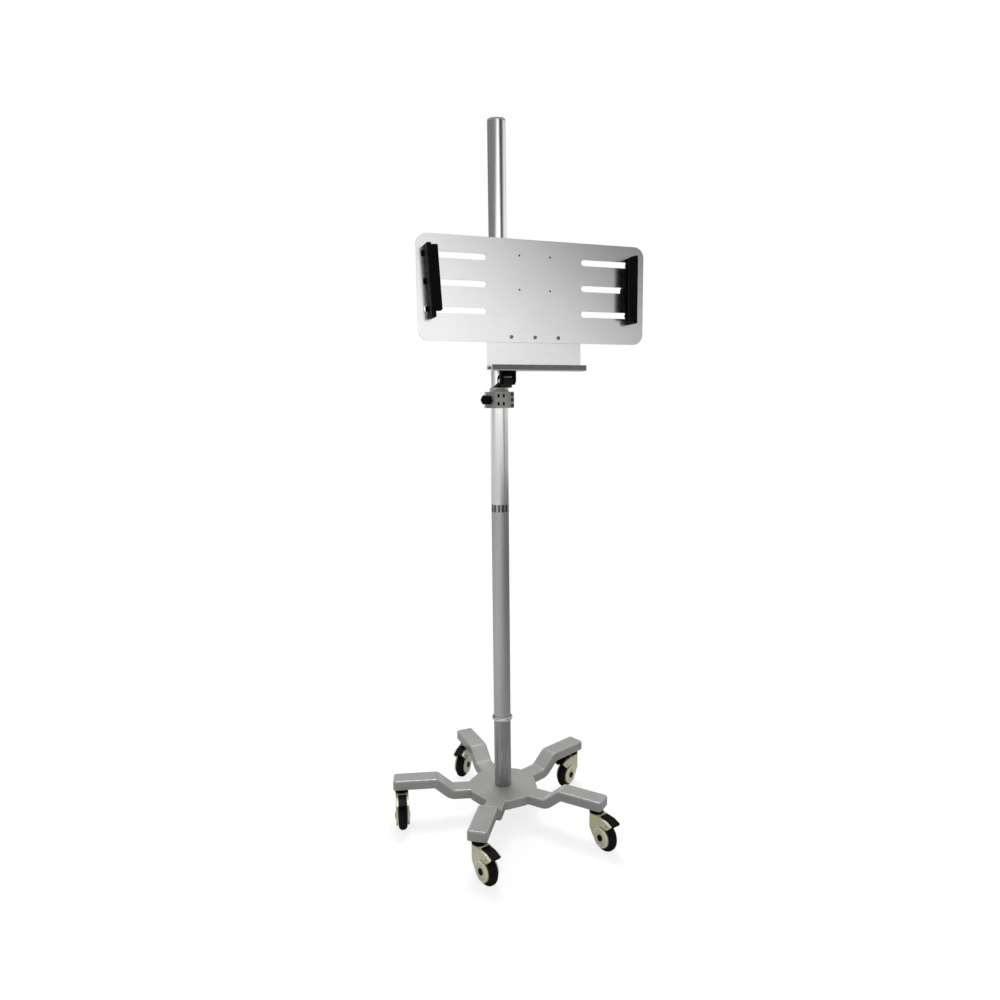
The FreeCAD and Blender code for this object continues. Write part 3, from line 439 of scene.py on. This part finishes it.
def make_floor():
    """Round floor that takes the object's shadow and fades to white away from it."""
    floor_radius = 9.0
    shadow_start, shadow_end = 0.25, 0.85
    mesh = bpy.data.meshes.new("floor")
    ring = bmesh.new()
    bmesh.ops.create_circle(ring, cap_ends=True, segments=96, radius=floor_radius)
    ring.to_mesh(mesh)
    ring.free()
    floor = bpy.data.objects.new("floor", mesh)
    bpy.context.scene.collection.objects.link(floor)
    material, nodes, links, shader = plain("floor_white", (0.9, 0.9, 0.9))
    dim = nodes.new("ShaderNodeBsdfDiffuse")
    glow = nodes.new("ShaderNodeEmission")
    place = nodes.new("ShaderNodeTexCoord")
    across = nodes.new("ShaderNodeSeparateXYZ")
    links.new(place.outputs["Object"], across.inputs[0])
    tone = nodes.new("ShaderNodeMapRange")
    for name, value in (("From Min", -3.0), ("From Max", 1.0), ("To Min", 0.85), ("To Max", 0.25)):
        tone.inputs[name].default_value = value
    links.new(across.outputs["X"], tone.inputs["Value"])
    links.new(tone.outputs["Result"], dim.inputs["Color"])
    distance = nodes.new("ShaderNodeVectorMath")
    distance.operation = "LENGTH"
    links.new(place.outputs["Object"], distance.inputs[0])
    fade = nodes.new("ShaderNodeMapRange")
    fade.interpolation_type = "SMOOTHSTEP"
    fade.inputs["From Min"].default_value = shadow_start
    fade.inputs["From Max"].default_value = shadow_end
    fade.inputs["To Min"].default_value = 0.8
    fade.inputs["To Max"].default_value = 1.0
    links.new(distance.outputs["Value"], fade.inputs["Value"])
    seen = mixed(nodes, links, fade.outputs["Result"], shader.outputs[0], glow.outputs[0])
    plainly = ray_share(nodes, links, "Is Camera Ray", "Is Transmission Ray")
    links.new(mixed(nodes, links, plainly, dim.outputs[0], seen),
              nodes["Material Output"].inputs["Surface"])
    give(floor, material)


def make_world():
    """White to the camera, a soft room to mirrors, brighter above than below to matte surfaces."""
    world = bpy.data.worlds.new("studio")
    bpy.context.scene.world = world
    world.use_nodes = True
    world.cycles.sampling_method = "NONE"
    nodes, links = world.node_tree.nodes, world.node_tree.links
    direction = nodes.new("ShaderNodeTexCoord").outputs["Generated"]

    def toward(aim, start, end, low, high):
        """Strength that changes from low to high as the direction turns towards aim."""
        along = nodes.new("ShaderNodeVectorMath")
        along.operation = "DOT_PRODUCT"
        links.new(direction, along.inputs[0])
        along.inputs[1].default_value = aim
        node = nodes.new("ShaderNodeMapRange")
        node.interpolation_type = "SMOOTHSTEP"
        for name, value in (("From Min", start), ("From Max", end),
                            ("To Min", low), ("To Max", high)):
            node.inputs[name].default_value = value
        links.new(along.outputs["Value"], node.inputs["Value"])
        return node.outputs["Result"]

    matte = nodes["Background"]
    matte.inputs["Color"].default_value = (1, 1, 1, 1)
    links.new(toward((0, 0, 1), -0.2, 0.9, 0.14, 0.72), matte.inputs["Strength"])
    mirrored = nodes.new("ShaderNodeBackground")
    mirrored.inputs["Color"].default_value = (1, 1, 1, 1)
    room = toward((0.65, 0.0, 0.76), 0.26, 0.5, 1.38, 0.08)
    for operation, more in (
            ("MAXIMUM", toward((0.85, 0.15, -0.5), 0.3, 0.75, 0.0, 0.95)),
            ("MULTIPLY", toward((-0.3, 0.1, 0.95), 0.22, 0.4, 1.0, 0.15)),
            ("MULTIPLY", toward((0, 0, 1), -0.05, 0.05, 0.5, 1.0)),
            ("MAXIMUM", toward((0, 0, 1), 0.5, 0.8, 0.0, 0.7))):
        joined = nodes.new("ShaderNodeMath")
        joined.operation = operation
        links.new(room, joined.inputs[0])
        links.new(more, joined.inputs[1])
        room = joined.outputs[0]
    links.new(room, mirrored.inputs["Strength"])
    white = nodes.new("ShaderNodeBackground")
    white.inputs["Color"].default_value = (1, 1, 1, 1)
    glossy = mixed(nodes, links, ray_share(nodes, links, "Is Glossy Ray"), matte.outputs[0],
                   mirrored.outputs[0])
    plainly = ray_share(nodes, links, "Is Camera Ray", "Is Transmission Ray")
    links.new(mixed(nodes, links, plainly, glossy, white.outputs[0]),
              nodes["World Output"].inputs["Surface"])


def soft_light(name, place, aim, width, height, power, mirrored=True):
    """Rectangular lamp aimed at a point; one that isn't mirrored leaves no spot on metal."""
    data = bpy.data.lights.new(name, "AREA")
    data.shape = "RECTANGLE"
    data.size = width
    data.size_y = height
    data.energy = power
    lamp = bpy.data.objects.new(name, data)
    bpy.context.scene.collection.objects.link(lamp)
    lamp.visible_glossy = mirrored
    lamp.location = place
    lamp.rotation_euler = (Vector(aim) - Vector(place)).to_track_quat("-Z", "Y").to_euler()


def make_camera():
    """Camera solved from the photograph: place, heading, tilt down, roll and field of view."""
    heading = math.radians(19.4)
    down = math.radians(7.147)
    roll = math.radians(0.589)
    right = Vector((math.cos(heading), -math.sin(heading), 0))
    ahead = Vector((math.sin(heading), math.cos(heading), 0))
    up = ahead * math.sin(down) + Vector((0, 0, 1)) * math.cos(down)
    forward = ahead * math.cos(down) - Vector((0, 0, 1)) * math.sin(down)
    rolled_right = right * math.cos(roll) - up * math.sin(roll)
    rolled_up = up * math.cos(roll) + right * math.sin(roll)
    data = bpy.data.cameras.new("camera")
    data.sensor_width = 36
    data.lens = 26.41
    camera = bpy.data.objects.new("camera", data)
    bpy.context.scene.collection.objects.link(camera)
    place = Matrix((rolled_right, rolled_up, -forward)).transposed().to_4x4()
    place.translation = (-0.5863, -1.6643, 1.034)
    camera.matrix_world = place
    bpy.context.scene.camera = camera


make_floor()
make_world()
soft_light("key", (-1.6, -2.4, 3.0), (0, 0, 0.9), 1.4, 1.4, 30, mirrored=False)
soft_light("fill", (2.0, -2.6, 0.9), (0, 0, 0.5), 1.2, 1.2, 12, mirrored=False)
soft_light("top", (0.2, 0.9, 3.4), (0, 0, 0.2), 1.0, 1.0, 75)
make_camera()
bpy.context.scene.view_settings.view_transform = "Standard"
